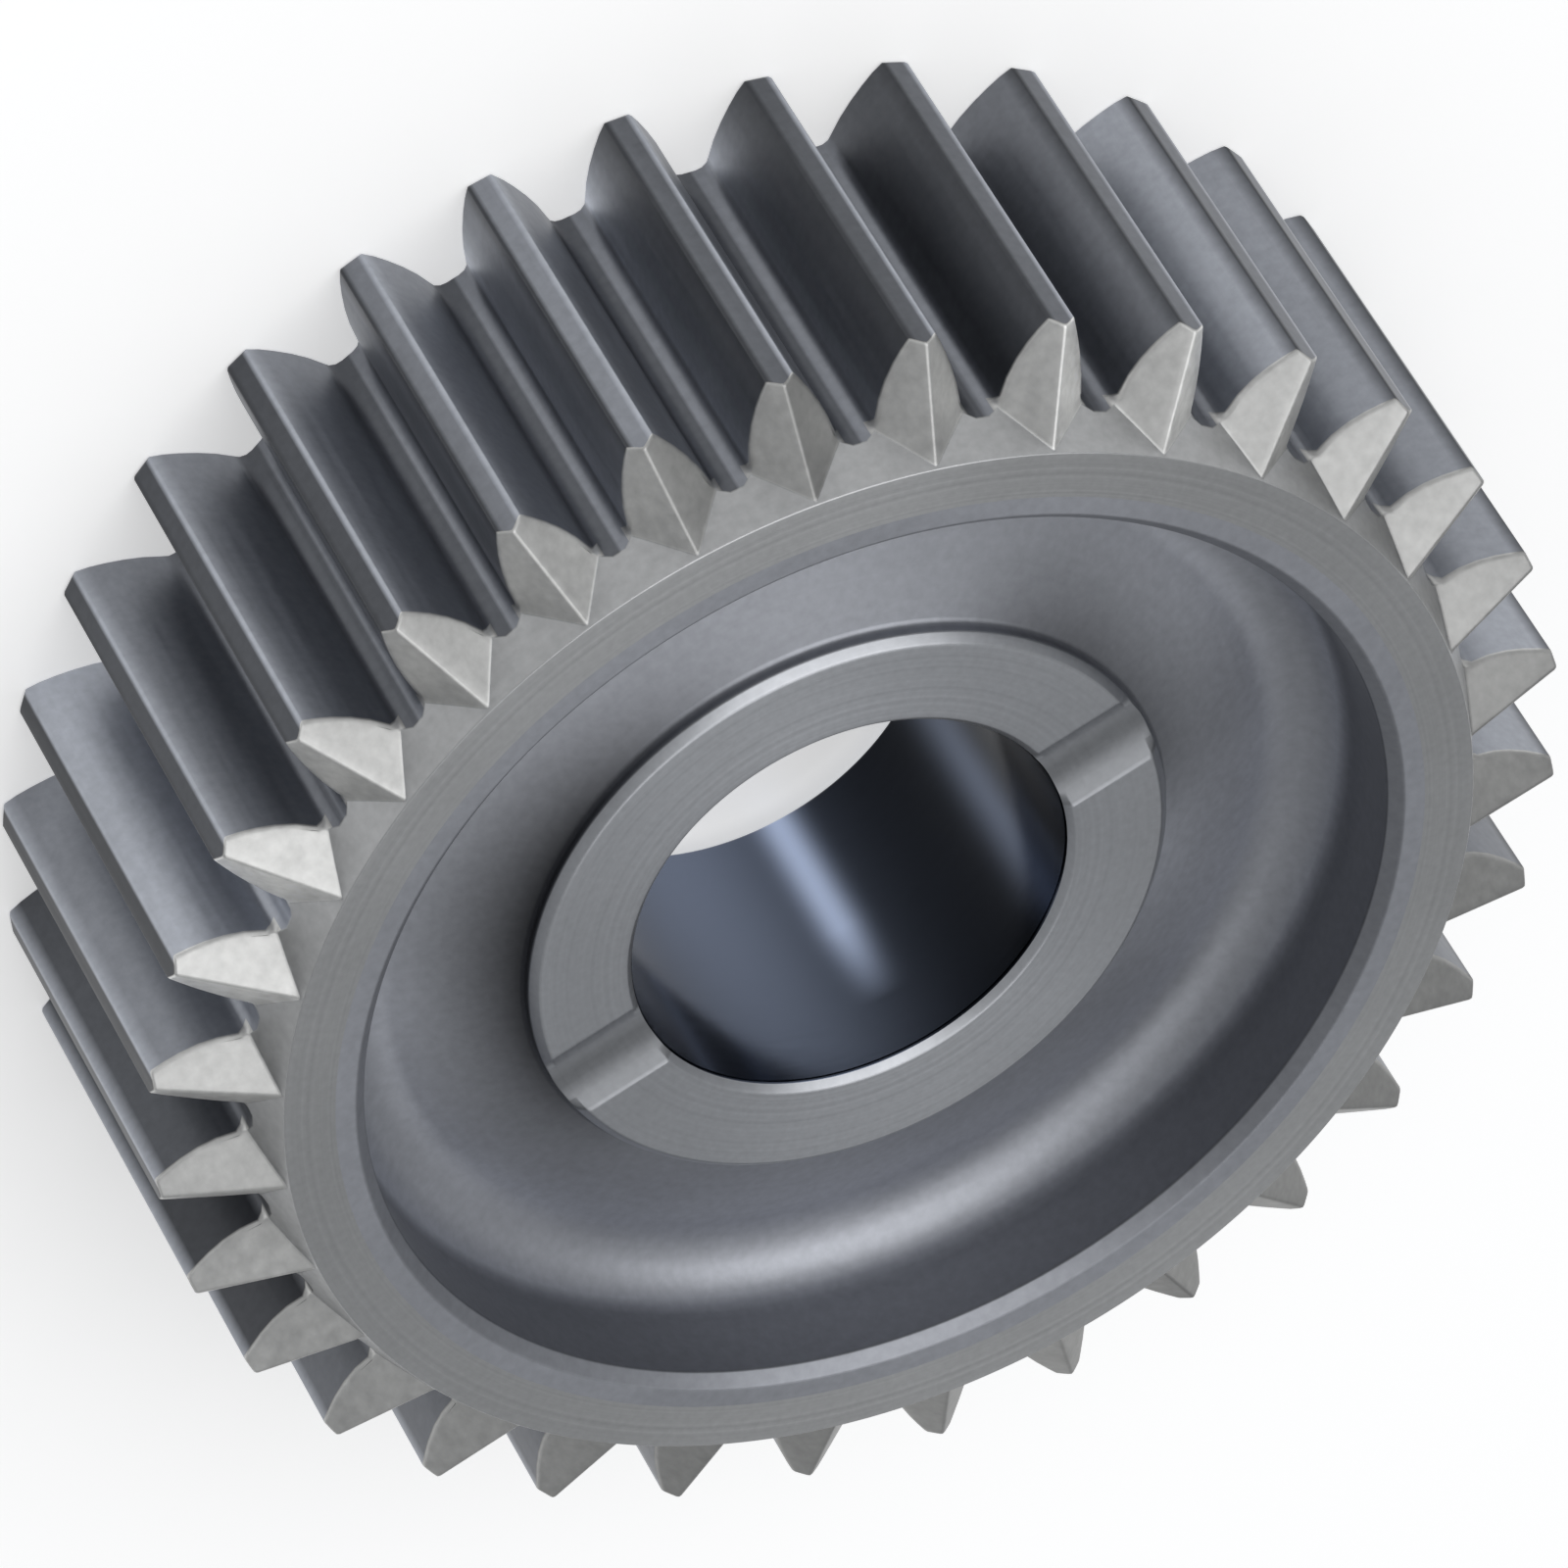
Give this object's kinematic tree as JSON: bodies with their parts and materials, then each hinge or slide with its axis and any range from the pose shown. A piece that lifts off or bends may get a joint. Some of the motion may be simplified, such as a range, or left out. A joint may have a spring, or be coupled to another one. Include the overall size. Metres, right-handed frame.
{
  "type": "transmission gear",
  "caption": "Straight-cut transmission gear with pointed engagement ends on its teeth, a deep recess round the hub, a plain bore and oil slots.",
  "frame": {"origin": "on the bore axis, in the plane of the rim's back face, which the gear lies on", "axes": "+Z along the bore axis, from the back face to the front with the pointed tooth ends and the oil slots; +X through a tooth space, along the oil slots"},
  "size_m": [0.1356, 0.1356, 0.043],
  "materials": {
    "gear_steel": "ground faces and flanks with turned recesses, lightly oiled"
  },
  "bodies": {
    "root": {"transmission_gear": "gear_steel"}
  },
  "joints": []
}
